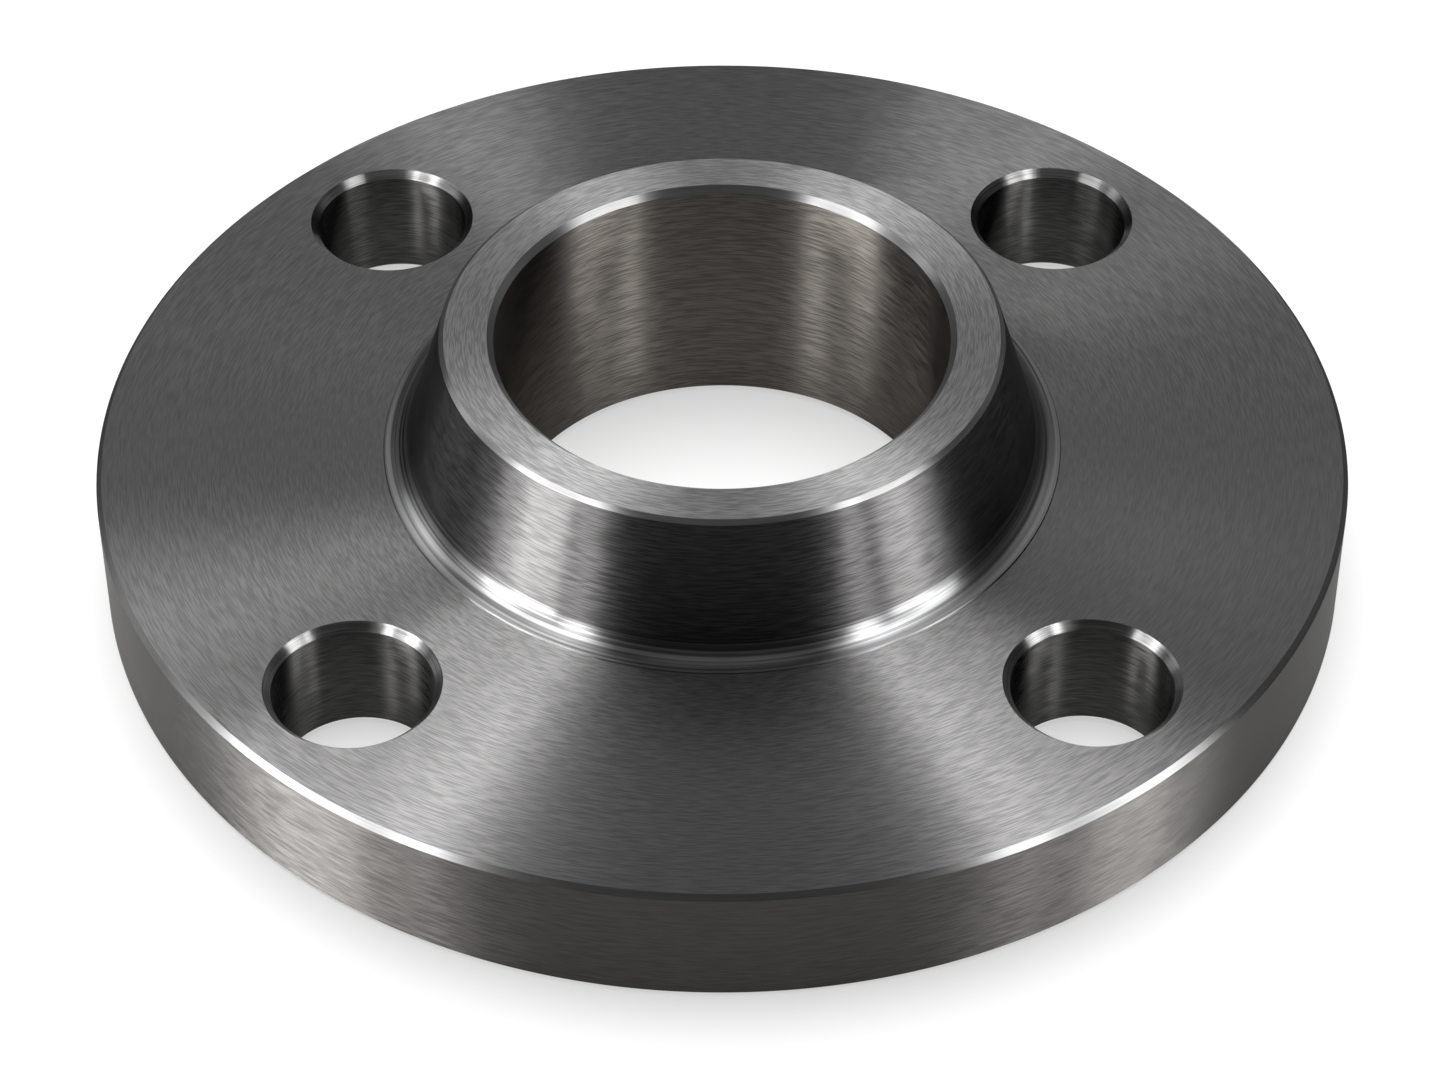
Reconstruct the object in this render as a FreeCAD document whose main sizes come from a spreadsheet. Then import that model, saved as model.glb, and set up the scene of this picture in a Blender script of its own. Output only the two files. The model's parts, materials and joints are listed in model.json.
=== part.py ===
import FreeCAD, Part
import math
import os

import Sketcher

# A hubbed pipe flange, turned from one piece of steel.
# The bore runs along Z, the gasket face lies on z = 0 and the hub stands up from the plate's back face.

doc = FreeCAD.newDocument("PipeFlange")

# Driving dimensions in millimetres, the number of bolt holes and the circle that follows from them
flangeSizes = (
    ("flange_diameter", 152.4, "outside of the plate"),
    ("flange_thickness", 16.0, "plate, from the gasket face to the back face"),
    ("overall_height", 33.0, "gasket face to the end of the hub"),
    ("bore_diameter", 54.8, "straight bore through plate and hub"),
    ("hub_end_diameter", 67.6, "outside of the hub at its free end"),
    ("hub_foot_diameter", 82.6, "outside of the land around the hub's fillet"),
    ("hub_fillet_radius", 3.0, "fillet between the tapered hub and the plate"),
    ("foot_land_width", 0.25, "flat land left outside the fillet"),
    ("foot_land_height", 0.25, "how far that land stands above the back face"),
    ("bolt_edge_distance", 15.875, "rim to the bolt hole centres, which leaves a 120.65 circle"),
    ("bolt_hole_count", 4, "equally spaced holes"),
    ("bolt_hole_diameter", 19.05, "clearance for the bolts"),
    ("bolt_hole_chamfer", 0.9, "at both mouths of each bolt hole"),
    ("first_hole_angle", 45.0, "degrees from X, so that the holes straddle the centrelines"),
    ("rim_chamfer", 0.65, "outer edge of the back face"),
    ("rim_edge_break", 0.4, "outer edge of the gasket face"),
    ("bore_chamfer", 0.75, "at both ends of the bore"),
    ("hub_edge_break", 0.45, "outer edge of the hub's end"),
    ("cutter_overrun", 1.0, "how far the bolt hole cut runs past the plate's faces"),
    ("bolt_circle_radius", "=flange_diameter / 2 - bolt_edge_distance", "to the bolt hole centres"),
)

sizes = doc.addObject("Spreadsheet::Sheet", "Sizes")
for row, (alias, value, meaning) in enumerate(flangeSizes, start=1):
    sizes.set(f"A{row}", alias)
    sizes.set(f"B{row}", str(value))
    sizes.setAlias(f"B{row}", alias)
    sizes.set(f"C{row}", meaning)
doc.recompute()

body = doc.addObject("PartDesign::Body", "Flange")
body.Label = "flange"

fullTurn = 360
tolerance = 1e-4

# The sketcher's numbers for a line's ends, the origin and the horizontal axis
startIndex, endIndex = 1, 2
originIndex = (-1, 1)
axisIndex = -1


def originFeature(role):
    return next(item for item in body.Origin.OriginFeatures if item.Role == role)


def newSketch(name):
    sketch = body.newObject("Sketcher::SketchObject", name)
    sketch.AttachmentSupport = (originFeature("XZ_Plane"), [""])
    sketch.MapMode = "FlatFace"
    return sketch


# A line between two points of the section, each given as distance from the axis and height
def addLine(sketch, start, end):
    return sketch.addGeometry(Part.LineSegment(FreeCAD.Vector(*start, 0), FreeCAD.Vector(*end, 0)))


# Dimensions of the sketch, each of which follows an expression in the sheet's sizes
def addSizes(sketch, dimensions):
    for name, kind, references, expression in dimensions:
        value = sketch.evalExpression(expression)
        index = sketch.addConstraint(Sketcher.Constraint(kind, *references, value))
        sketch.renameConstraint(index, name)
        sketch.setExpression(f"Constraints.{name}", expression)


# The half-section of the turned blank, drawn to the right of the axis
def drawHalfSection():
    sketch = newSketch("HalfSection")
    boreRadius = sizes.bore_diameter / 2
    rimRadius = sizes.flange_diameter / 2
    hubEndRadius = sizes.hub_end_diameter / 2
    footRadius = sizes.hub_foot_diameter / 2
    filletEnd = footRadius - sizes.foot_land_width
    plateTop = sizes.flange_thickness
    landTop = plateTop + sizes.foot_land_height
    hubEnd = sizes.overall_height
    filletRadius = sizes.hub_fillet_radius
    filletCentre = FreeCAD.Vector(filletEnd, landTop + filletRadius, 0)

    gasketFace = addLine(sketch, (boreRadius, 0), (rimRadius, 0))
    rim = addLine(sketch, (rimRadius, 0), (rimRadius, plateTop))
    backFace = addLine(sketch, (rimRadius, plateTop), (footRadius, plateTop))
    landStep = addLine(sketch, (footRadius, plateTop), (footRadius, landTop))
    land = addLine(sketch, (footRadius, landTop), (filletEnd, landTop))
    filletCircle = Part.Circle(filletCentre, FreeCAD.Vector(0, 0, 1), filletRadius)
    fillet = sketch.addGeometry(Part.ArcOfCircle(filletCircle, math.pi, 1.5 * math.pi))
    taper = addLine(sketch, (filletEnd - filletRadius, landTop + filletRadius), (hubEndRadius, hubEnd))
    hubFace = addLine(sketch, (hubEndRadius, hubEnd), (boreRadius, hubEnd))
    boreWall = addLine(sketch, (boreRadius, hubEnd), (boreRadius, 0))

    chain = (gasketFace, rim, backFace, landStep, land)
    joined = list(zip(chain, chain[1:])) + [(taper, hubFace), (hubFace, boreWall), (boreWall, gasketFace)]
    for first, second in joined:
        sketch.addConstraint(Sketcher.Constraint("Coincident", first, endIndex, second, startIndex))
    sketch.addConstraint(Sketcher.Constraint("Tangent", land, endIndex, fillet, endIndex))
    sketch.addConstraint(Sketcher.Constraint("Tangent", fillet, startIndex, taper, startIndex))
    for line in (backFace, land, hubFace):
        sketch.addConstraint(Sketcher.Constraint("Horizontal", line))
    for line in (rim, landStep, boreWall):
        sketch.addConstraint(Sketcher.Constraint("Vertical", line))
    for end in (startIndex, endIndex):
        sketch.addConstraint(Sketcher.Constraint("PointOnObject", gasketFace, end, axisIndex))

    addSizes(sketch, (
        ("bore_radius", "DistanceX", (*originIndex, gasketFace, startIndex), "Sizes.bore_diameter / 2"),
        ("rim_radius", "DistanceX", (*originIndex, gasketFace, endIndex), "Sizes.flange_diameter / 2"),
        ("foot_radius", "DistanceX", (*originIndex, landStep, startIndex), "Sizes.hub_foot_diameter / 2"),
        ("hub_end_radius", "DistanceX", (*originIndex, taper, endIndex), "Sizes.hub_end_diameter / 2"),
        ("plate_thickness", "DistanceY", (rim, startIndex, rim, endIndex), "Sizes.flange_thickness"),
        ("hub_end_height", "DistanceY", (*originIndex, taper, endIndex), "Sizes.overall_height"),
        ("land_height", "DistanceY", (landStep, startIndex, landStep, endIndex), "Sizes.foot_land_height"),
        ("land_width", "DistanceX", (land, endIndex, land, startIndex), "Sizes.foot_land_width"),
        ("fillet_radius", "Radius", (fillet,), "Sizes.hub_fillet_radius"),
    ))
    return sketch


# The half-section of one bolt hole about its own axis, with a 45 degree chamfer at each mouth
def drawHoleSection():
    sketch = newSketch("BoltHoleSection")
    turn = FreeCAD.Rotation(FreeCAD.Vector(0, 1, 0), sizes.first_hole_angle)
    sketch.AttachmentOffset = FreeCAD.Placement(FreeCAD.Vector(), turn)
    sketch.setExpression("AttachmentOffset.Rotation.Angle", "Sizes.first_hole_angle * 1 deg")
    axisAt = sizes.bolt_circle_radius
    wallAt = axisAt + sizes.bolt_hole_diameter / 2
    overrun = sizes.cutter_overrun
    mouthAt = wallAt + sizes.bolt_hole_chamfer + overrun
    lowWall = sizes.bolt_hole_chamfer
    highWall = sizes.flange_thickness - sizes.bolt_hole_chamfer
    top = sizes.flange_thickness + overrun
    corners = (
        (axisAt, -overrun),
        (mouthAt, -overrun),
        (wallAt, lowWall),
        (wallAt, highWall),
        (mouthAt, top),
        (axisAt, top),
    )
    lines = [addLine(sketch, start, end) for start, end in zip(corners, corners[1:] + corners[:1])]
    lowMouth, lowChamfer, wall, highChamfer, highMouth, axis = lines
    for first, second in zip(lines, lines[1:] + lines[:1]):
        sketch.addConstraint(Sketcher.Constraint("Coincident", first, endIndex, second, startIndex))
    for line in (lowMouth, highMouth):
        sketch.addConstraint(Sketcher.Constraint("Horizontal", line))
    for line in (wall, axis):
        sketch.addConstraint(Sketcher.Constraint("Vertical", line))

    chamferRun = "Sizes.bolt_hole_chamfer + Sizes.cutter_overrun"
    highEnd = "Sizes.flange_thickness + Sizes.cutter_overrun"
    addSizes(sketch, (
        ("axis_radius", "DistanceX", (*originIndex, axis, startIndex), "Sizes.bolt_circle_radius"),
        ("hole_radius", "DistanceX", (axis, startIndex, wall, startIndex), "Sizes.bolt_hole_diameter / 2"),
        ("low_end", "DistanceY", (axis, endIndex, *originIndex), "Sizes.cutter_overrun"),
        ("high_end", "DistanceY", (*originIndex, axis, startIndex), highEnd),
        ("low_width", "DistanceX", (lowChamfer, endIndex, lowChamfer, startIndex), chamferRun),
        ("low_depth", "DistanceY", (lowChamfer, startIndex, lowChamfer, endIndex), chamferRun),
        ("high_width", "DistanceX", (highChamfer, startIndex, highChamfer, endIndex), chamferRun),
        ("high_depth", "DistanceY", (highChamfer, startIndex, highChamfer, endIndex), chamferRun),
    ))
    return sketch, f"Edge{axis + 1}"


# The names of the circular edges around the bore axis that have this radius at this height
def edgesAround(feature, radius, height):
    names = []
    for number, edge in enumerate(feature.Shape.Edges, start=1):
        curve = edge.Curve
        if not isinstance(curve, Part.Circle):
            continue
        offAxis = (curve.Center - FreeCAD.Vector(0, 0, height)).Length
        if offAxis < tolerance and abs(curve.Radius - radius) < tolerance:
            names.append(f"Edge{number}")
    return names


def addChamfer(name, feature, edges, alias):
    chamfer = body.newObject("PartDesign::Chamfer", name)
    chamfer.Base = (feature, edges)
    chamfer.setExpression("Size", f"Sizes.{alias}")
    doc.recompute()
    return chamfer


# The blank is turned from its half-section, then its corners are broken
blank = body.newObject("PartDesign::Revolution", "TurnedBlank")
halfSection = drawHalfSection()
blank.Profile = (halfSection, [""])
blank.ReferenceAxis = (halfSection, ["V_Axis"])
blank.Angle = fullTurn
halfSection.Visibility = False
doc.recompute()

rimRadius = sizes.flange_diameter / 2
boreRadius = sizes.bore_diameter / 2
hubEndRadius = sizes.hub_end_diameter / 2
rimTop = edgesAround(blank, rimRadius, sizes.flange_thickness)
rimChamfer = addChamfer("RimChamfer", blank, rimTop, "rim_chamfer")
rimLow = addChamfer("RimEdgeBreak", rimChamfer, edgesAround(rimChamfer, rimRadius, 0), "rim_edge_break")
boreEnds = edgesAround(rimLow, boreRadius, 0) + edgesAround(rimLow, boreRadius, sizes.overall_height)
boreChamfer = addChamfer("BoreChamfers", rimLow, boreEnds, "bore_chamfer")
hubEdge = edgesAround(boreChamfer, hubEndRadius, sizes.overall_height)
turned = addChamfer("HubEdgeBreak", boreChamfer, hubEdge, "hub_edge_break")
turnedVolume = turned.Shape.Volume

# One bolt hole is cut about its own axis and repeated around the bore
boltHole = body.newObject("PartDesign::Groove", "BoltHole")
holeSection, holeAxis = drawHoleSection()
boltHole.Profile = (holeSection, [""])
boltHole.ReferenceAxis = (holeSection, [holeAxis])
boltHole.Angle = fullTurn
doc.recompute()

boltCircle = body.newObject("PartDesign::PolarPattern", "BoltCircle")
boltCircle.Originals = [boltHole]
boltCircle.Axis = (originFeature("Z_Axis"), [""])
boltCircle.Angle = fullTurn
boltCircle.setExpression("Occurrences", "Sizes.bolt_hole_count")
body.Tip = boltCircle
doc.recompute()

# The model is written only if every step held
for item in doc.Objects:
    if "Invalid" in item.State or "Error" in item.State:
        raise RuntimeError(f"{item.Name} failed: {item.State}")
for sketch in (halfSection, holeSection):
    if not sketch.FullyConstrained:
        raise RuntimeError(f"{sketch.Name} isn't fully constrained")
shape = body.Shape
if shape.isNull() or not shape.isValid() or len(shape.Solids) != 1:
    raise RuntimeError("the flange isn't one valid solid")
holeVolume = turnedVolume - boltHole.Shape.Volume
cutVolume = turnedVolume - shape.Volume
if holeVolume <= 0 or abs(cutVolume - holeVolume * sizes.bolt_hole_count) > cutVolume * tolerance:
    raise RuntimeError("a bolt hole is missing or runs into another cut")

os.makedirs("parts", exist_ok=True)
shape.exportStep(os.path.join("parts", f"{body.Label}.step"))
print(f"{body.Label}: {shape.Volume:.0f} mm3, {len(shape.Faces)} faces, box {shape.BoundBox}")
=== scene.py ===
import json

import bpy
import numpy as np
from mathutils import Matrix, Vector


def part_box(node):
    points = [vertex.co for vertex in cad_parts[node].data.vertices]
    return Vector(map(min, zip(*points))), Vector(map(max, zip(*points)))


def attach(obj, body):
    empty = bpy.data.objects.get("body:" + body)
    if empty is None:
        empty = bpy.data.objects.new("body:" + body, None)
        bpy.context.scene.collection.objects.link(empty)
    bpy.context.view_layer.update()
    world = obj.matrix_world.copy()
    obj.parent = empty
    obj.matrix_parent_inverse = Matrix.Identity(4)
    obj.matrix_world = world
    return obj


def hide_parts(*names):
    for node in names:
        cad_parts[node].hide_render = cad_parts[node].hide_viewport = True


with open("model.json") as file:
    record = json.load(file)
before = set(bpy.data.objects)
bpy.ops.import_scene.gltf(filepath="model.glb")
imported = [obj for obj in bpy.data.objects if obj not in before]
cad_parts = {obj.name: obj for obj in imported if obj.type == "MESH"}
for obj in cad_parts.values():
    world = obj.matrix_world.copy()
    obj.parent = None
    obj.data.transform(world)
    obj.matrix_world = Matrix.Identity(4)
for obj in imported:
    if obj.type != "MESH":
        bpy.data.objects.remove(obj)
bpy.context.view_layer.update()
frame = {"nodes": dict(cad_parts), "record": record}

mm = 0.001
lowCorner, highCorner = (np.array(corner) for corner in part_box("flange"))
mounts = {mount["name"]: mount for mount in frame["record"]["mounts"]}
print("frame loaded:", sorted(frame["nodes"]), "box", lowCorner, highCorner)

# The flange's sizes in metres, read from the record where it states them
flangeForm = {
    "rimRadius": (highCorner[0] - lowCorner[0]) / 2,
    "height": highCorner[2],
    "thickness": mounts["back_face"]["pos_m"][2],
    "boreRadius": mounts["bore"]["dims"]["r_mm"] * mm,
    "hubEndRadius": 33.8 * mm,
    "hubFootRadius": 41.3 * mm,
    "hubFillet": 3.0 * mm,
    "landWidth": 0.25 * mm,
    "landHeight": 0.25 * mm,
    "rimChamfer": 0.65 * mm,
    "rimEdgeBreak": 0.4 * mm,
    "boreChamfer": 0.75 * mm,
    "hubEdgeBreak": 0.45 * mm,
    "holeCount": mounts["bolt_circle"]["dims"]["count"],
    "holeCircle": mounts["bolt_circle"]["dims"]["pcd_mm"] / 2 * mm,
    "holeRadius": mounts["bolt_circle"]["dims"]["hole_r_mm"] * mm,
    "holeChamfer": 0.9 * mm,
    "firstHole": np.pi / 4,
    "cornerRounding": 0.07 * mm,      # left by a file on every machined corner
}

# How finely the surface is divided
flangeGrid = {
    "columns": 480,          # steps around the bore
    "blockColumns": 30,      # steps across the block that each bolt hole is set in
    "blockRows": 20,
    "blockMargin": 0.9 * mm,
    "patchRings": 3,         # between the block's edge and the hole's mouth
    "wallRows": 6,
    "cornerSteps": 3,
    "filletSteps": 16,
    "supportRow": 0.5 * mm,  # flat faces have a row this close to each corner
    "innerRows": 8,          # on the gasket face, from the bore to the bolt holes
    "footRows": 5,           # on the back face, from the bolt holes to the hub
    "hubFaceRows": 2,
    "taperStart": 0.16,      # share of the taper that the fillet takes up
}
uvScale = 10                 # one UV unit across the turning marks is 100 mm

finishNames = ("backFace", "gasketFace", "rim", "edges", "taper", "fillet", "hubFace", "bore", "boltHole",
               "holeEdge")


# Vectors that turn evenly from the first direction to the last
def evenTurn(first, last, steps):
    turn = np.arccos(np.clip(first @ last, -1, 1))
    share = np.linspace(0, 1, steps + 1)[:, None]
    return (np.sin((1 - share) * turn) * first + np.sin(share * turn) * last) / np.sin(turn)


# An arc that rounds a corner of a section. It starts radius * tan(half the turn) before the corner,
# and each of its points is that start plus the radius times the change in the outward normal, which
# lies right of the way round
def roundedCorner(before, corner, after, radius, steps):
    comingIn = (corner - before) / np.linalg.norm(corner - before)
    goingOut = (after - corner) / np.linalg.norm(after - corner)
    turn = np.arctan2(comingIn[0] * goingOut[1] - comingIn[1] * goingOut[0], comingIn @ goingOut)
    rightOf = np.array([[0, -1], [1, 0]])
    normals = evenTurn(comingIn @ rightOf, goingOut @ rightOf, steps)
    start = corner - comingIn * radius * np.tan(abs(turn) / 2)
    return start + np.sign(turn) * radius * (normals - normals[0]), normals


# Shares of a side's length: evenly spaced, with a supporting row near both ends, a quarter in at most
def sideShares(length, rows, support):
    near = min(support / length, 0.25)
    return np.linspace(near, 1 - near, rows + 2)


# A section carried from corner to corner. Each corner is (place, rounding, steps, finish of its arc),
# and each side is (finish, shares of its length at which it has a row). It gives the rows' points,
# normals and finishes, and the number of each side's first row
def sectionRows(corners, sides, closed):
    places = [np.array(place) for place, *_ in corners]
    count = len(corners)
    points, normals, finishes, starts = [], [], [], []
    for k, (_, rounding, steps, arcFinish) in enumerate(corners):
        if not closed and k in (0, count - 1):
            continue
        before, corner, after = places[k - 1], places[k], places[(k + 1) % count]
        arc, arcNormals = roundedCorner(before, corner, after, rounding, steps)
        sideFinish, shares = sides[k]
        side = corner + np.asarray(shares).reshape(-1, 1) * (after - corner)
        starts.append(sum(len(part) for part in points) + len(arc))
        points += [arc, side]
        normals += [arcNormals, np.repeat(arcNormals[-1:], len(side), axis=0)]
        finishes += [arcFinish] * steps + [sideFinish] * (len(side) + 1)
    return np.concatenate(points), np.concatenate(normals), np.array(finishes), starts


# A grid of places: the section turned about an axis, (radius cos a, radius sin a, height) at every angle a
def turnedGrid(section, angles, centre=(0, 0)):
    radius, height = section[:, :1], section[:, 1:]
    x = centre[0] + radius * np.cos(angles)
    y = centre[1] + radius * np.sin(angles)
    return np.stack([x, y, np.broadcast_to(height, x.shape)], axis=-1)


# The section of the turned flange, once round against the clock from the low end of the bore
def flangeSection(form, grid):
    rim, height, thickness = form["rimRadius"], form["height"], form["thickness"]
    bore, foot, landTop = form["boreRadius"], form["hubFootRadius"], thickness + form["landHeight"]
    boreMouth = bore + form["boreChamfer"]
    hubEnd = np.array([form["hubEndRadius"], height])
    filletCentre = np.array([foot - form["landWidth"], landTop + form["hubFillet"]])
    toCentre = filletCentre - hubEnd
    slope = np.arctan2(-toCentre[1], toCentre[0]) + np.arcsin(form["hubFillet"] / np.linalg.norm(toCentre))
    taper = np.array([-np.cos(slope), np.sin(slope)])
    taperFoot = hubEnd - taper * (height - landTop) / np.sin(slope)
    hubBreak = form["hubEdgeBreak"]
    soft, steps = form["cornerRounding"], grid["cornerSteps"]
    corners = [
        ((boreMouth, 0), soft, steps, "edges"),
        ((rim - form["rimEdgeBreak"], 0), soft, steps, "edges"),
        ((rim, form["rimEdgeBreak"]), soft, steps, "edges"),
        ((rim, thickness - form["rimChamfer"]), soft, steps, "edges"),
        ((rim - form["rimChamfer"], thickness), soft, steps, "edges"),
        ((foot, thickness), soft, steps, "backFace"),
        ((foot, landTop), soft, steps, "fillet"),
        (taperFoot, form["hubFillet"], grid["filletSteps"], "fillet"),
        (hubEnd - taper * hubBreak, soft, steps, "edges"),
        (hubEnd - (hubBreak, 0), soft, steps, "edges"),
        ((boreMouth, height), soft, steps, "edges"),
        ((bore, height - form["boreChamfer"]), soft, steps, "edges"),
        ((bore, form["boreChamfer"]), soft, steps, "edges"),
    ]
    reach = form["holeRadius"] + form["holeChamfer"] + grid["blockMargin"]
    bandRadii = form["holeCircle"] + np.linspace(-reach, reach, grid["blockRows"] + 1)
    support = grid["supportRow"]
    rimEnd = rim - form["rimChamfer"]
    innerRadii = np.linspace(boreMouth + support, bandRadii[0], grid["innerRows"])[:-1]
    footRadii = np.linspace(bandRadii[0], foot + support, grid["footRows"])[1:]
    lowRadii = np.concatenate([innerRadii, bandRadii, [rimEnd - support]])
    highRadii = np.concatenate([[rimEnd - support], bandRadii[::-1], footRadii])
    lowSide, highSide = (boreMouth, rim - form["rimEdgeBreak"]), (rimEnd, foot)
    rows, taperStart = grid["wallRows"], grid["taperStart"]
    taperShares = taperStart + (1 - taperStart) * sideShares(height - landTop, rows, support)
    sides = [
        ("gasketFace", (lowRadii - lowSide[0]) / (lowSide[1] - lowSide[0])),
        ("edges", []),
        ("rim", sideShares(thickness, rows, support)),
        ("edges", []),
        ("backFace", (highRadii - highSide[0]) / (highSide[1] - highSide[0])),
        ("fillet", []),
        ("fillet", []),
        ("taper", taperShares),
        ("edges", []),
        ("hubFace", sideShares(hubEnd[0] - bore, grid["hubFaceRows"], support)),
        ("edges", []),
        ("bore", sideShares(height, rows, support)),
        ("edges", []),
    ]
    points, normals, finishes, starts = sectionRows(corners, sides, closed=True)
    lowBand = starts[0] + int(np.argmin(abs(lowRadii - bandRadii[0])))
    highBand = starts[4] + int(np.argmin(abs(highRadii - bandRadii[-1])))
    return points, normals, finishes, lowBand, highBand


# The section of a bolt hole about its own axis, down from the back face to the gasket face
def holeSection(form, grid):
    wall, mouth = form["holeRadius"], form["holeRadius"] + form["holeChamfer"]
    far, top = mouth + grid["blockMargin"], form["thickness"]
    soft, steps = form["cornerRounding"], grid["cornerSteps"]
    corners = [
        ((far, top), 0, 0, ""),
        ((mouth, top), soft, steps, "holeEdge"),
        ((wall, top - form["holeChamfer"]), soft, steps, "holeEdge"),
        ((wall, form["holeChamfer"]), soft, steps, "holeEdge"),
        ((mouth, 0), soft, steps, "holeEdge"),
        ((far, 0), 0, 0, ""),
    ]
    wallShares = sideShares(top, grid["wallRows"], grid["supportRow"])
    sides = [("", []), ("holeEdge", []), ("boltHole", wallShares), ("holeEdge", []), ("gasketFace", [])]
    points, normals, finishes, _ = sectionRows(corners, sides, closed=False)
    return points, normals, finishes[:-1]


# Faces between the rows and columns of a grid of point numbers, wound so that they look outwards
def gridFaces(numbers, closedRows):
    below = numbers if closedRows else numbers[:-1]
    above = np.roll(numbers, -1, axis=0) if closedRows else numbers[1:]
    return np.stack([below, np.roll(below, -1, axis=1), np.roll(above, -1, axis=1), above], axis=-1)


# The UV corners of such faces: the way along the section, and the share of a turn, which runs on past
# the seam
def gridCorners(along, turns):
    below, above = along[:-1], along[1:]
    left, right = turns[:-1], turns[1:]
    shape = (len(below), len(left))
    u = np.stack([np.broadcast_to(row[:, None], shape) for row in (below, below, above, above)], axis=-1)
    v = np.stack([np.broadcast_to(column, shape) for column in (left, right, right, left)], axis=-1)
    return np.stack([u, v], axis=-1)


# How far along a section each of its rows lies
def wayAlong(section):
    return np.concatenate([[0], np.cumsum(np.linalg.norm(np.diff(section, axis=0), axis=1))])


def buildFlange(form, grid):
    section, sectionNormals, finishes, lowBand, highBand = flangeSection(form, grid)
    columns = grid["columns"]
    angles = 2 * np.pi * np.arange(columns) / columns
    places = turnedGrid(section, angles).reshape(-1, 3)
    normals = turnedGrid(sectionNormals, angles).reshape(-1, 3)
    numbers = np.arange(len(places)).reshape(len(section), columns)
    faces = gridFaces(numbers, closedRows=True)
    along = wayAlong(np.concatenate([section, section[:1]]))
    uvCorners = gridCorners(along * uvScale, np.arange(columns + 1) / columns)
    finishOf = np.array([finishNames.index(name) for name in finishes])
    faceFinish = np.broadcast_to(finishOf[:, None], faces.shape[:2])

    blockRows, blockColumns = grid["blockRows"], grid["blockColumns"]
    keep = np.ones(faces.shape[:2], dtype=bool)
    holeTurns = form["firstHole"] / (2 * np.pi) + np.arange(form["holeCount"]) / form["holeCount"]
    firstColumns = np.round(holeTurns * columns).astype(int) - blockColumns // 2
    blocks = (firstColumns[:, None] + np.arange(blockColumns)) % columns
    for band in (lowBand, highBand):
        keep[band:band + blockRows, blocks.ravel()] = False
    allPlaces, allNormals = [places], [normals]
    allFaces, allCorners, allFinishes = [faces[keep]], [uvCorners[keep]], [faceFinish[keep]]

    # The block's edge as (row, column) pairs, once around
    side, across = np.arange(blockRows), np.arange(blockColumns)
    edgeRows = np.concatenate([side, np.full(blockColumns, blockRows), blockRows - side,
                               np.zeros(blockColumns, int)])
    edgeColumns = np.concatenate([np.zeros(blockRows, int), across, np.full(blockRows, blockColumns),
                                  blockColumns - across])
    holeRows, holeNormals, holeFinishes = holeSection(form, grid)
    holeAlong = wayAlong(holeRows)
    patchShares = np.arange(1, grid["patchRings"])[:, None, None] / grid["patchRings"]
    count = len(places)
    for hole, firstColumn in enumerate(firstColumns):
        turn = 2 * np.pi * holeTurns[hole]
        centre = form["holeCircle"] * np.array([np.cos(turn), np.sin(turn)])
        edgeNumbers = numbers[highBand + blockRows - edgeRows, (firstColumn + edgeColumns) % columns]
        lowNumbers = numbers[lowBand + edgeRows, (firstColumn + edgeColumns) % columns]
        outward = places[edgeNumbers, :2] - centre
        around = np.arctan2(outward[:, 1], outward[:, 0]) % (2 * np.pi)
        order = np.argsort(around)
        around, edgeNumbers, lowNumbers = around[order], edgeNumbers[order], lowNumbers[order]

        walls = turnedGrid(holeRows, around, centre)
        wallNormals = turnedGrid(holeNormals, around)
        highPatch = places[edgeNumbers] * (1 - patchShares) + walls[0] * patchShares
        lowPatch = walls[-1] * (1 - patchShares) + places[lowNumbers] * patchShares
        newPlaces = np.concatenate([highPatch, walls, lowPatch])
        upwards, downwards = np.zeros_like(highPatch), np.zeros_like(lowPatch)
        upwards[..., 2], downwards[..., 2] = 1, -1
        newNumbers = count + np.arange(newPlaces[..., 0].size).reshape(newPlaces.shape[:2])
        rows = np.concatenate([edgeNumbers[None], newNumbers, lowNumbers[None]])
        newFaces = gridFaces(rows, closedRows=False)
        count += newNumbers.size

        # On the flat faces the marks run around the bore, and in the hole around the hole's own axis
        rings, wallSteps = grid["patchRings"], len(holeRows) - 1
        everyPlace = np.concatenate([places[edgeNumbers][None], newPlaces, places[lowNumbers][None]])
        fromBore = np.linalg.norm(everyPlace[..., :2], axis=-1)
        turnOf = np.arctan2(everyPlace[..., 1], everyPlace[..., 0]) / (2 * np.pi) % 1
        highAlong = (along[highBand] + section[highBand, 0] - fromBore) * uvScale
        lowAlong = (along[lowBand] + fromBore - section[lowBand, 0]) * uvScale
        flatCorners = []
        for way, span in ((highAlong, slice(0, rings + 1)), (lowAlong, slice(rings + wallSteps, None))):
            pair = np.stack([way[span], turnOf[span]], axis=-1)
            nextPair = np.roll(pair, -1, axis=1)
            flatCorners.append(np.stack([pair[:-1], nextPair[:-1], nextPair[1:], pair[1:]], axis=2))
        turns = np.append(around, around[0] + 2 * np.pi) / (2 * np.pi)
        wallCorners = gridCorners((holeAlong + (1 + hole) * form["rimRadius"]) * uvScale, turns)
        wallFinish = np.array([finishNames.index(name) for name in holeFinishes])
        rowFinish = np.concatenate([np.full(rings, finishNames.index("backFace")), wallFinish,
                                    np.full(rings, finishNames.index("gasketFace"))])
        allPlaces.append(newPlaces.reshape(-1, 3))
        allNormals.append(np.concatenate([upwards, wallNormals, downwards]).reshape(-1, 3))
        allFaces.append(newFaces.reshape(-1, 4))
        allCorners.append(np.concatenate([flatCorners[0], wallCorners, flatCorners[1]]).reshape(-1, 4, 2))
        allFinishes.append(np.repeat(rowFinish, len(around)))
    return [np.concatenate(part) for part in (allPlaces, allNormals, allFaces, allCorners, allFinishes)]


# A new object of the scene
def placed(name, data):
    item = bpy.data.objects.new(name, data)
    bpy.context.scene.collection.objects.link(item)
    return item


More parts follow.
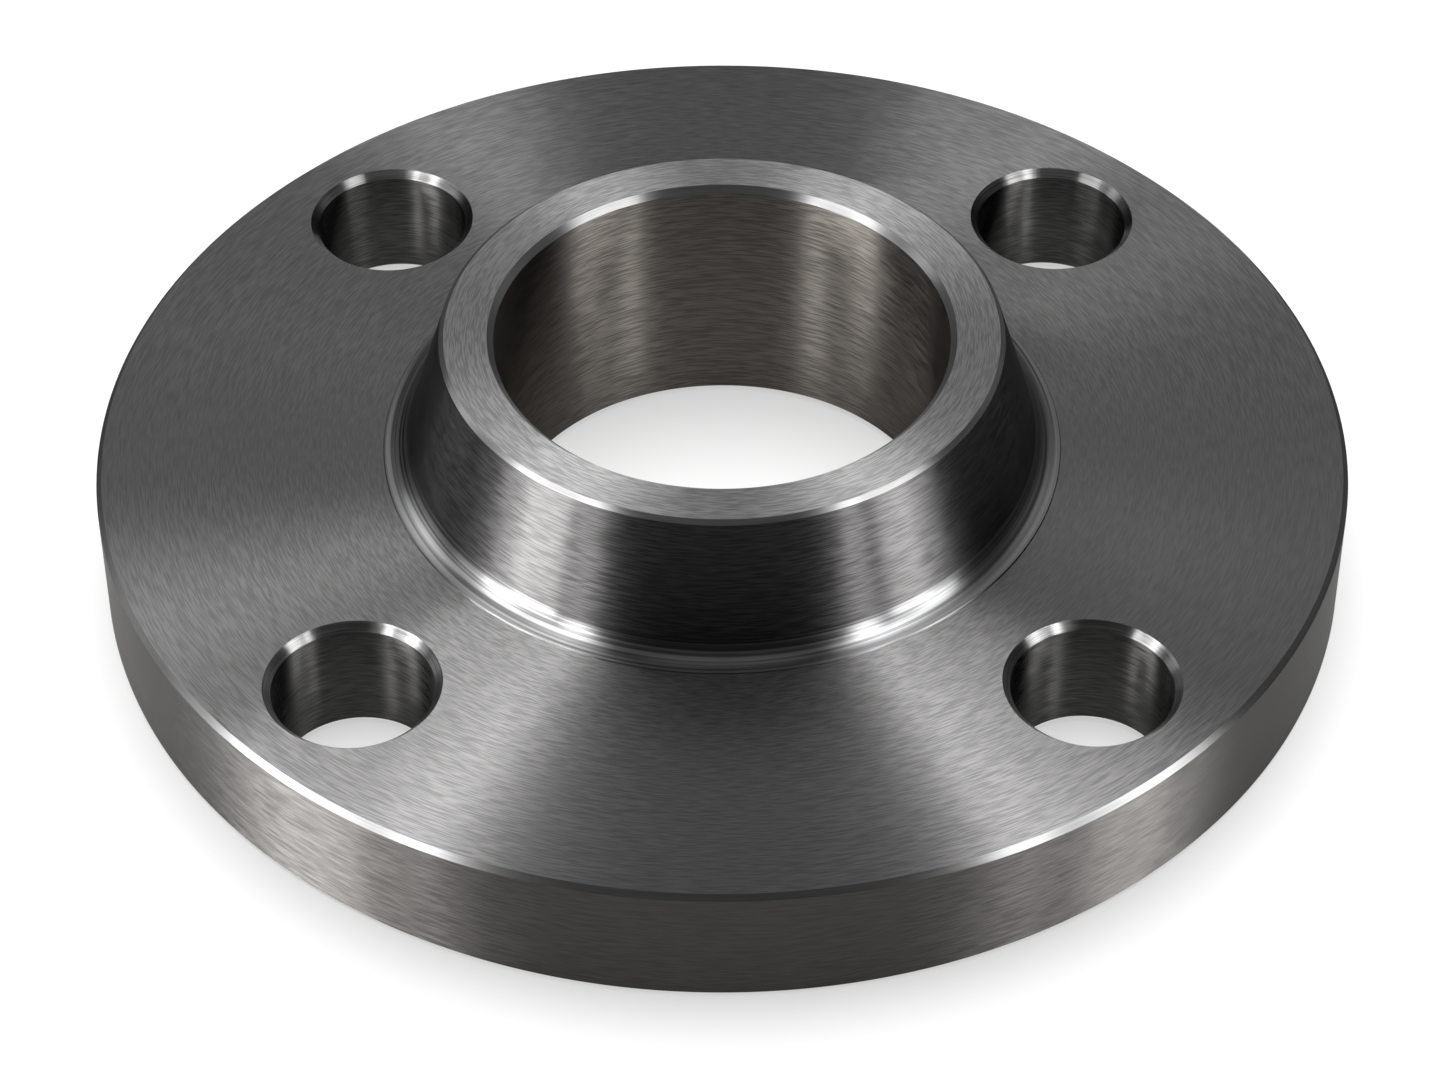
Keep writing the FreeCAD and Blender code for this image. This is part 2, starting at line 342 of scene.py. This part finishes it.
# Puts the arrays into a mesh, without the points that no face uses
def meshObject(name, places, normals, faces, uvCorners, finishes):
    used, packed = np.unique(faces, return_inverse=True)
    packed = packed.reshape(-1)
    mesh = bpy.data.meshes.new(name)
    mesh.vertices.add(len(used))
    mesh.vertices.foreach_set("co", places[used].astype(np.float32).ravel())
    mesh.loops.add(len(packed))
    mesh.loops.foreach_set("vertex_index", packed.astype(np.int32))
    mesh.polygons.add(len(faces))
    mesh.polygons.foreach_set("loop_start", np.arange(0, len(packed), 4, dtype=np.int32))
    mesh.polygons.foreach_set("material_index", finishes.astype(np.int32))
    mesh.polygons.foreach_set("use_smooth", np.ones(len(faces), dtype=bool))
    layer = mesh.uv_layers.new(name="turning")
    mesh.update(calc_edges=True)
    layer.data.foreach_set("uv", uvCorners.astype(np.float32).ravel())
    mesh.validate()
    unit = normals[used] / np.linalg.norm(normals[used], axis=1, keepdims=True)
    mesh.normals_split_custom_set_from_vertices(unit.tolist())
    return placed(name, mesh)


flange = meshObject("turnedFlange", *buildFlange(flangeForm, flangeGrid))
print("flange built:", len(flange.data.vertices), "points,", len(flange.data.polygons), "faces")

# The finishes. Lengths and widths of the marks are in metres, at the radius where the finish is turned.
# "rough" is the roughness from one mark to the next, "relief" the depth of the marks, and "contrast" how
# much darker and lighter the marks are. The steel entry is the colour, with painted shade and painted light
# in it: one steel is made darker on the rim, taper, bore, bolt holes and hole edges as painted shade, and
# lighter on the hub face as painted light. Where they are given, "anisotropic" is how far the marks draw
# out a highlight, and "grazing" how bright the steel is when seen edge on
finishes = {
    "backFace": {"radius": 60 * mm, "markLength": 2.6 * mm, "markWidth": 0.14 * mm, "rough": (0.34, 0.41),
                 "relief": 0.6e-6, "steel": (0.088, 0.087, 0.087), "contrast": 0.24},
    "gasketFace": {"radius": 50 * mm, "markLength": 60 * mm, "markWidth": 0.5 * mm, "rough": (0.33, 0.43),
                   "relief": 8e-6, "steel": (0.130, 0.130, 0.131), "contrast": 0.45},
    "rim": {"radius": 76 * mm, "markLength": 3.2 * mm, "markWidth": 0.15 * mm, "rough": (0.34, 0.41),
            "relief": 0.6e-6, "steel": (0.067, 0.0642, 0.0615), "contrast": 0.23, "grazing": 0.85},
    "edges": {"radius": 50 * mm, "markLength": 12 * mm, "markWidth": 0.10 * mm, "rough": (0.36, 0.40),
              "relief": 0.03e-6, "steel": (0.110, 0.110, 0.110), "contrast": 0.10},
    "taper": {"radius": 36 * mm, "markLength": 3.2 * mm, "markWidth": 0.15 * mm, "rough": (0.32, 0.39),
              "relief": 0.6e-6, "steel": (0.052, 0.051, 0.051), "contrast": 0.29, "grazing": 0.35},
    "fillet": {"radius": 40 * mm, "markLength": 60 * mm, "markWidth": 0.30 * mm, "rough": (0.28, 0.34),
               "relief": 0.8e-6, "steel": (0.090, 0.090, 0.091), "contrast": 0.45},
    "hubFace": {"radius": 31 * mm, "markLength": 2.4 * mm, "markWidth": 0.14 * mm, "rough": (0.50, 0.58),
                "relief": 0.6e-6, "steel": (0.142, 0.141, 0.141), "contrast": 0.29, "anisotropic": 0.85},
    "bore": {"radius": 27 * mm, "markLength": 3.2 * mm, "markWidth": 0.15 * mm, "rough": (0.31, 0.37),
             "relief": 0.6e-6, "steel": (0.086, 0.079, 0.072), "contrast": 0.34},
    "boltHole": {"radius": 9.5 * mm, "markLength": 3.0 * mm, "markWidth": 0.14 * mm, "rough": (0.30, 0.36),
                 "relief": 0.6e-6, "steel": (0.052, 0.051, 0.050), "contrast": 0.36},
    "holeEdge": {"radius": 10 * mm, "markLength": 6 * mm, "markWidth": 0.10 * mm, "rough": (0.30, 0.36),
                 "relief": 0.05e-6, "steel": (0.080, 0.080, 0.080), "contrast": 0.3},
}


class NodeSheet:
    def __init__(self, tree):
        self.nodes, self.links = tree.nodes, tree.links

    # A new node with its settings, and its inputs linked or set by name or number
    def add(self, kind, inputs=None, **settings):
        node = self.nodes.new(kind)
        for key, value in settings.items():
            setattr(node, key, value)
        for key, value in (inputs or {}).items():
            if isinstance(value, bpy.types.NodeSocket):
                self.links.new(value, node.inputs[key])
            else:
                node.inputs[key].default_value = value
        return node

    def maths(self, operation, *values):
        return self.add("ShaderNodeMath", dict(enumerate(values)), operation=operation).outputs[0]


# The layers of noise that make up the marks, and how they are mixed
markLayers = {
    "fine": {"longer": 1, "wider": 1, "detail": 1.0, "offset": 3.1},
    "coarse": {"longer": 3, "wider": 4, "detail": 2.0, "offset": 17.3},
}
patchLayer = {"length": 25 * mm, "width": 18 * mm, "detail": 2.0, "offset": 41.7}
markMix = {
    "coarseShare": 0.04,
    "patchShare": 0.08,          # of the tone, which the patches make lighter and darker
    "toneRange": (0.41, 0.59),   # noise values of the darkest and the lightest marks
    "roughRange": (0.35, 0.65),
    "darkShare": 0.75,           # dark marks take this much of the contrast, light ones all of it
    "reliefScale": 4,            # the noise spans about a quarter of its range
    "anisotropic": 1.0,
    "grazing": 0.3,
}


# Noise drawn out around the axis. Its place is (cos a, sin a, way along the section), where the
# circle's radius divided by a mark's length, and the way along divided by a mark's width, set how long
# and fine the marks are
def turningMarks(sheet, around, along, radius, length, width, detail, offset):
    turnSize = radius / length
    cosine = sheet.maths("MULTIPLY", sheet.maths("COSINE", around), turnSize)
    sine = sheet.maths("MULTIPLY", sheet.maths("SINE", around), turnSize)
    across = sheet.maths("MULTIPLY_ADD", along, 1 / (uvScale * width), offset)
    place = sheet.add("ShaderNodeCombineXYZ", {"X": cosine, "Y": sine, "Z": across}).outputs[0]
    settings = {"Vector": place, "Scale": 1.0, "Detail": detail, "Roughness": 0.6}
    return sheet.add("ShaderNodeTexNoise", settings).outputs["Fac"]


def ranged(sheet, value, low, high, toLow, toHigh):
    inputs = {"Value": value, "From Min": low, "From Max": high, "To Min": toLow, "To Max": toHigh}
    return sheet.add("ShaderNodeMapRange", inputs).outputs["Result"]


# A material with an empty node tree
def newMaterial(name):
    material = bpy.data.materials.new(name)
    material.use_nodes = True
    material.node_tree.nodes.clear()
    return material, NodeSheet(material.node_tree)


def turnedSteel(name, finish):
    material, sheet = newMaterial(name)
    uv = sheet.add("ShaderNodeUVMap", uv_map="turning").outputs["UV"]
    split = sheet.add("ShaderNodeSeparateXYZ", {"Vector": uv})
    along = split.outputs["X"]
    around = sheet.maths("MULTIPLY", split.outputs["Y"], 2 * np.pi)
    radius, length, width = finish["radius"], finish["markLength"], finish["markWidth"]
    fine, coarse = (turningMarks(sheet, around, along, radius, length * layer["longer"],
                                 width * layer["wider"], layer["detail"], layer["offset"])
                    for layer in (markLayers["fine"], markLayers["coarse"]))
    patches = turningMarks(sheet, around, along, radius, **patchLayer)
    coarseShare, patchShare = markMix["coarseShare"], markMix["patchShare"]
    marks = sheet.maths("MULTIPLY_ADD", fine, 1 - coarseShare, sheet.maths("MULTIPLY", coarse, coarseShare))
    tone = sheet.maths("MULTIPLY_ADD", patches, patchShare, sheet.maths("MULTIPLY", marks, 1 - patchShare))
    mixed = sheet.add("ShaderNodeMix", data_type="RGBA")
    sheet.links.new(ranged(sheet, tone, *markMix["toneRange"], 0, 1), mixed.inputs["Factor"])
    # The steel colour carries this zone's painted shade or painted light
    steel, contrast = np.array(finish["steel"]), finish["contrast"]
    mixed.inputs["A"].default_value = (*steel * (1 - contrast * markMix["darkShare"]), 1)
    mixed.inputs["B"].default_value = (*steel * (1 + contrast), 1)
    rough = ranged(sheet, marks, *markMix["roughRange"], *finish["rough"])
    depth = finish["relief"] * markMix["reliefScale"]
    bump = sheet.add("ShaderNodeBump", {"Height": marks, "Strength": 1.0, "Distance": depth})
    tangent = sheet.add("ShaderNodeTangent", direction_type="UV_MAP", uv_map="turning").outputs[0]
    grazing = finish.get("grazing", markMix["grazing"])
    shader = sheet.add("ShaderNodeBsdfPrincipled", {
        "Base Color": mixed.outputs["Result"], "Metallic": 1.0, "Roughness": rough,
        "Anisotropic": finish.get("anisotropic", markMix["anisotropic"]),
        "Specular Tint": (grazing, grazing, grazing, 1),
        "Normal": bump.outputs[0], "Tangent": tangent})
    sheet.add("ShaderNodeOutputMaterial", {"Surface": shader.outputs[0]})
    return material


for finishName in finishNames:
    flange.data.materials.append(turnedSteel(finishName, finishes[finishName]))
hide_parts("flange")
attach(flange, "root")
print("finishes made:", len(finishNames))


# The studio: a white floor, flags that only reflections see, and lamps
studio = {
    "floorSize": 3.0,
    "floorLevel": -0.02 * mm,    # just clear of the gasket face
    "floorColour": (0.41, 0.41, 0.41),
    "floorGlow": 0.55,           # what the camera and the metal see added to the lit floor
    "worldSeen": 1.0,
    "worldLight": 0.15,
}


def seenRays(sheet):
    path = sheet.add("ShaderNodeLightPath")
    seen = sheet.maths("MAXIMUM", path.outputs["Is Camera Ray"], path.outputs["Is Glossy Ray"])
    return sheet.maths("MAXIMUM", seen, path.outputs["Is Transmission Ray"])


# The floor can be seen through from below, so that a view from there shows the gasket face
def makeFloor():
    half, level = studio["floorSize"] / 2, studio["floorLevel"]
    corners = [(-half, -half, level), (half, -half, level), (half, half, level), (-half, half, level)]
    mesh = bpy.data.meshes.new("floor")
    mesh.from_pydata(corners, [], [(0, 1, 2, 3)])
    placed("floor", mesh)
    material, sheet = newMaterial("floor")
    lit = sheet.add("ShaderNodeBsdfDiffuse", {"Color": (*studio["floorColour"], 1)})
    glow = sheet.maths("MULTIPLY", seenRays(sheet), studio["floorGlow"])
    shine = sheet.add("ShaderNodeEmission", {"Strength": glow})
    both = sheet.add("ShaderNodeAddShader", {0: lit.outputs[0], 1: shine.outputs[0]})
    below = sheet.add("ShaderNodeNewGeometry").outputs["Backfacing"]
    clear = sheet.add("ShaderNodeBsdfTransparent")
    oneSided = sheet.add("ShaderNodeMixShader", {0: below, 1: both.outputs[0], 2: clear.outputs[0]})
    sheet.add("ShaderNodeOutputMaterial", {"Surface": oneSided.outputs[0]})
    mesh.materials.append(material)


def makeWorld():
    world = bpy.data.worlds.new("studio")
    world.use_nodes = True
    world.node_tree.nodes.clear()
    sheet = NodeSheet(world.node_tree)
    strength = ranged(sheet, seenRays(sheet), 0, 1, studio["worldLight"], studio["worldSeen"])
    light = sheet.add("ShaderNodeBackground", {"Color": (1, 1, 1, 1), "Strength": strength})
    sheet.add("ShaderNodeOutputWorld", {"Surface": light.outputs[0]})
    bpy.context.scene.world = world


# A place given by azimuth from +X, elevation and distance, about a target
def fromTarget(target, azimuth, elevation, distance):
    azimuth, elevation = np.radians(azimuth), np.radians(elevation)
    level = np.cos(elevation)
    way = Vector((np.cos(azimuth) * level, np.sin(azimuth) * level, np.sin(elevation)))
    return Vector(target) + way * distance


# Softboxes stand on a dome around the flange and face its middle. Directions and sizes are in degrees as
# seen from there, and "level" is how bright the box looks, where 1 is white. Only polished surfaces see
# them
softboxes = {
    "leftLow": {"azimuth": -149.5, "elevation": 6, "wide": 16, "high": 12, "level": 72},
    "leftInner": {"azimuth": -137, "elevation": 30, "wide": 8, "high": 15, "level": 64},
    "leftOuter": {"azimuth": -164, "elevation": 25, "wide": 10, "high": 24, "level": 48},
    "leftHigh": {"azimuth": -168, "elevation": 60, "wide": 14, "high": 16, "level": 28},
    "leftSide": {"azimuth": -175, "elevation": 25, "wide": 12, "high": 26, "level": 6},
    "rightLow": {"azimuth": -31, "elevation": 6, "wide": 13, "high": 12, "level": 44},
    "rightInner": {"azimuth": -44, "elevation": 30, "wide": 7, "high": 15, "level": 58},
    "rightOuter": {"azimuth": -19, "elevation": 25, "wide": 11, "high": 24, "level": 27},
    "rightHigh": {"azimuth": -13, "elevation": 60, "wide": 14, "high": 16, "level": 36},
    "backRight": {"azimuth": 64, "elevation": 61, "wide": 10, "high": 14, "level": 4},
    "backLeft": {"azimuth": 120, "elevation": 61, "wide": 10, "high": 14, "level": 12},
    "backLow": {"azimuth": 92, "elevation": 6, "wide": 28, "high": 12, "level": 6},
    "backCorner": {"azimuth": 152, "elevation": 38, "wide": 16, "high": 18, "level": 12},
    "backWindow": {"azimuth": 85, "elevation": 47, "wide": 80, "high": 16, "level": 1.3},
    "topLeft": {"azimuth": -125, "elevation": 78, "wide": 16, "high": 16, "level": 2.0},
    "topRight": {"azimuth": -55, "elevation": 78, "wide": 16, "high": 16, "level": 2.0},
}
domeRadius = 0.32
flangeMiddle = (0, 0, 0.016)


# A lamp's power is its radiance times pi times its area, and its sides are chords of the dome
def makeSoftbox(name, box):
    data = bpy.data.lights.new(name, "AREA")
    data.shape = "RECTANGLE"
    data.size, data.size_y = (2 * domeRadius * np.sin(np.radians(box[side]) / 2)
                              for side in ("wide", "high"))
    data.energy = box["level"] * np.pi * data.size * data.size_y
    item = placed(name, data)
    item.location = fromTarget(flangeMiddle, box["azimuth"], box["elevation"], domeRadius)
    item.rotation_euler = (Vector(flangeMiddle) - item.location).to_track_quat("-Z", "Y").to_euler()
    item.visible_camera = item.visible_diffuse = False


# The lamp that lights the floor and casts the flange's soft shadow
fillLamp = {"azimuth": 95, "elevation": 72, "apparentSize": 52, "strength": 4.2}


def makeFillLamp():
    data = bpy.data.lights.new("fill", "SUN")
    data.angle, data.energy = np.radians(fillLamp["apparentSize"]), fillLamp["strength"]
    item = placed("fill", data)
    item.location = fromTarget(flangeMiddle, fillLamp["azimuth"], fillLamp["elevation"], 1)
    item.rotation_euler = (Vector(flangeMiddle) - item.location).to_track_quat("-Z", "Y").to_euler()
    item.visible_camera = item.visible_glossy = False


# Flags are dark cards that give polished metal its dark sides. Each spans two azimuths and two
# elevations, in degrees, of a dome
flags = {
    "low": {"azimuths": (-180, 180), "elevations": (0, 37)},
    "around": {"azimuths": (130, 395), "elevations": (37, 90)},
    "back": {"azimuths": (35, 130), "elevations": (62, 90)},
}
flagRadius = 0.36
flagGrid = (49, 13)              # points around and up each flag
flagColour = (0.02, 0.02, 0.02, 1)


# A patch of a dome: radius * (cos a cos e, sin a cos e, sin e)
def makeFlag(name, flag):
    azimuths = np.radians(np.linspace(*flag["azimuths"], flagGrid[0]))
    elevations = np.radians(np.linspace(*flag["elevations"], flagGrid[1]))
    arc = flagRadius * np.stack([np.cos(elevations), np.sin(elevations)], axis=-1)
    places = turnedGrid(arc, azimuths)
    numbers = np.arange(places[..., 0].size).reshape(places.shape[:2])
    faces = np.stack([numbers[:-1, :-1], numbers[:-1, 1:], numbers[1:, 1:], numbers[1:, :-1]], axis=-1)
    mesh = bpy.data.meshes.new(name)
    mesh.from_pydata(places.reshape(-1, 3).tolist(), [], faces.reshape(-1, 4).tolist())
    piece = placed(name, mesh)
    material, sheet = newMaterial(name)
    card = sheet.add("ShaderNodeBsdfDiffuse", {"Color": flagColour})
    sheet.add("ShaderNodeOutputMaterial", {"Surface": card.outputs[0]})
    mesh.materials.append(material)
    piece.visible_camera = piece.visible_diffuse = piece.visible_shadow = False


makeFloor()
makeWorld()
makeFillLamp()
for boxName, boxSettings in softboxes.items():
    makeSoftbox(boxName, boxSettings)
for flagName, flagSettings in flags.items():
    makeFlag(flagName + "Flag", flagSettings)
print("studio lit")

# The camera stands where the photograph's edges put it, in metres and radians
view = {
    "place": (0.0, -0.40283, 0.37291),
    "yaw": 0.0005,
    "pitchDown": 0.7491,
    "roll": -0.0017,
    "sensorWidth": 36.0,
    "focalLength": 109.39,       # 4400 pixels in a frame 1448 wide
}


def makeCamera():
    data = bpy.data.cameras.new("camera")
    data.sensor_width, data.lens = view["sensorWidth"], view["focalLength"]
    data.clip_start, data.clip_end = 0.01, 20
    yaw, pitch, roll = view["yaw"], view["pitchDown"], view["roll"]
    forward = Vector((np.sin(yaw) * np.cos(pitch), np.cos(yaw) * np.cos(pitch), -np.sin(pitch)))
    level = Vector((np.cos(yaw), -np.sin(yaw), 0))
    upright = level.cross(forward)
    right = level * np.cos(roll) + upright * np.sin(roll)
    up = right.cross(forward)
    camera = placed("camera", data)
    turn = Matrix((right, up, -forward)).transposed()
    camera.matrix_world = Matrix.Translation(view["place"]) @ turn.to_4x4()
    bpy.context.scene.camera = camera


makeCamera()
bpy.context.scene.view_settings.view_transform = "Standard"
print("camera set")
